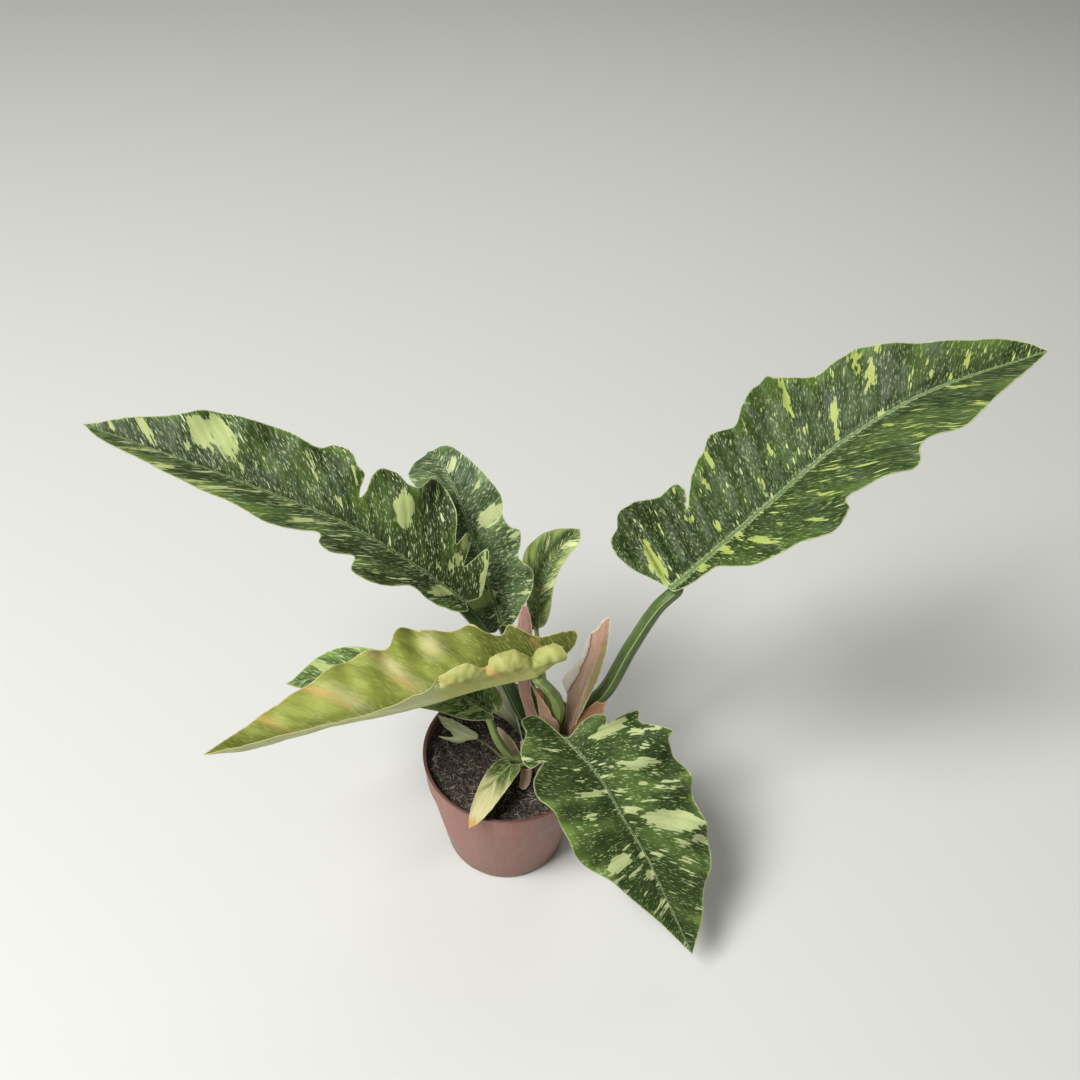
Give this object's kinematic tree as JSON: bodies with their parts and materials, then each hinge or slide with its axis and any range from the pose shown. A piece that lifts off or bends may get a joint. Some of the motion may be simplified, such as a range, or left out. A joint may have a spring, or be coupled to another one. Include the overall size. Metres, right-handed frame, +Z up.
{
  "type": "ring of fire philodendron in a nursery pot",
  "caption": "Variegated philodendron with long wavy-edged leaves on tall stalks and papery leaf sheaths, growing in a soil-filled, round tapered nursery pot.",
  "frame": {"origin": "centre of the pot's flat base, on the surface that the pot stands on", "axes": "+Z up along the pot's axis, +X to the right and +Y to the back, as seen in the picture"},
  "size_m": [0.5544, 0.21, 0.406],
  "materials": {
    "pot": "satin",
    "soil": "matte",
    "stem": "satin",
    "blade": "satin",
    "young_blade": "satin",
    "pale_blade": "satin",
    "stalk": "satin",
    "young_stalk": "satin",
    "rose_sheath": "satin",
    "cream_sheath": "satin",
    "dry_sheath": "matte"
  },
  "bodies": {
    "root": {"pot": "pot", "soil": "soil", "stem_crown": "stem", "stem_shoot": "stem", "leaf_left": "blade", "leaf_right": "blade", "leaf_front": "blade", "leaf_back": "blade", "leaf_low": "blade", "leaf_young": "young_blade", "leaf_narrow": "pale_blade", "leaf_juvenile": "pale_blade", "leaf_torn": "pale_blade", "stalk_left": "stalk", "stalk_right": "stalk", "stalk_front": "stalk", "stalk_back": "stalk", "stalk_narrow": "young_stalk", "stalk_young": "young_stalk", "stalk_low": "young_stalk", "stalk_juvenile": "young_stalk", "stalk_torn": "young_stalk", "sheath_tall": "rose_sheath", "sheath_open": "rose_sheath", "sheath_striped": "rose_sheath", "sheath_small": "rose_sheath", "sheath_stub": "rose_sheath", "sheath_pale": "cream_sheath", "sheath_low": "cream_sheath", "sheath_dried": "dry_sheath"}
  },
  "joints": []
}
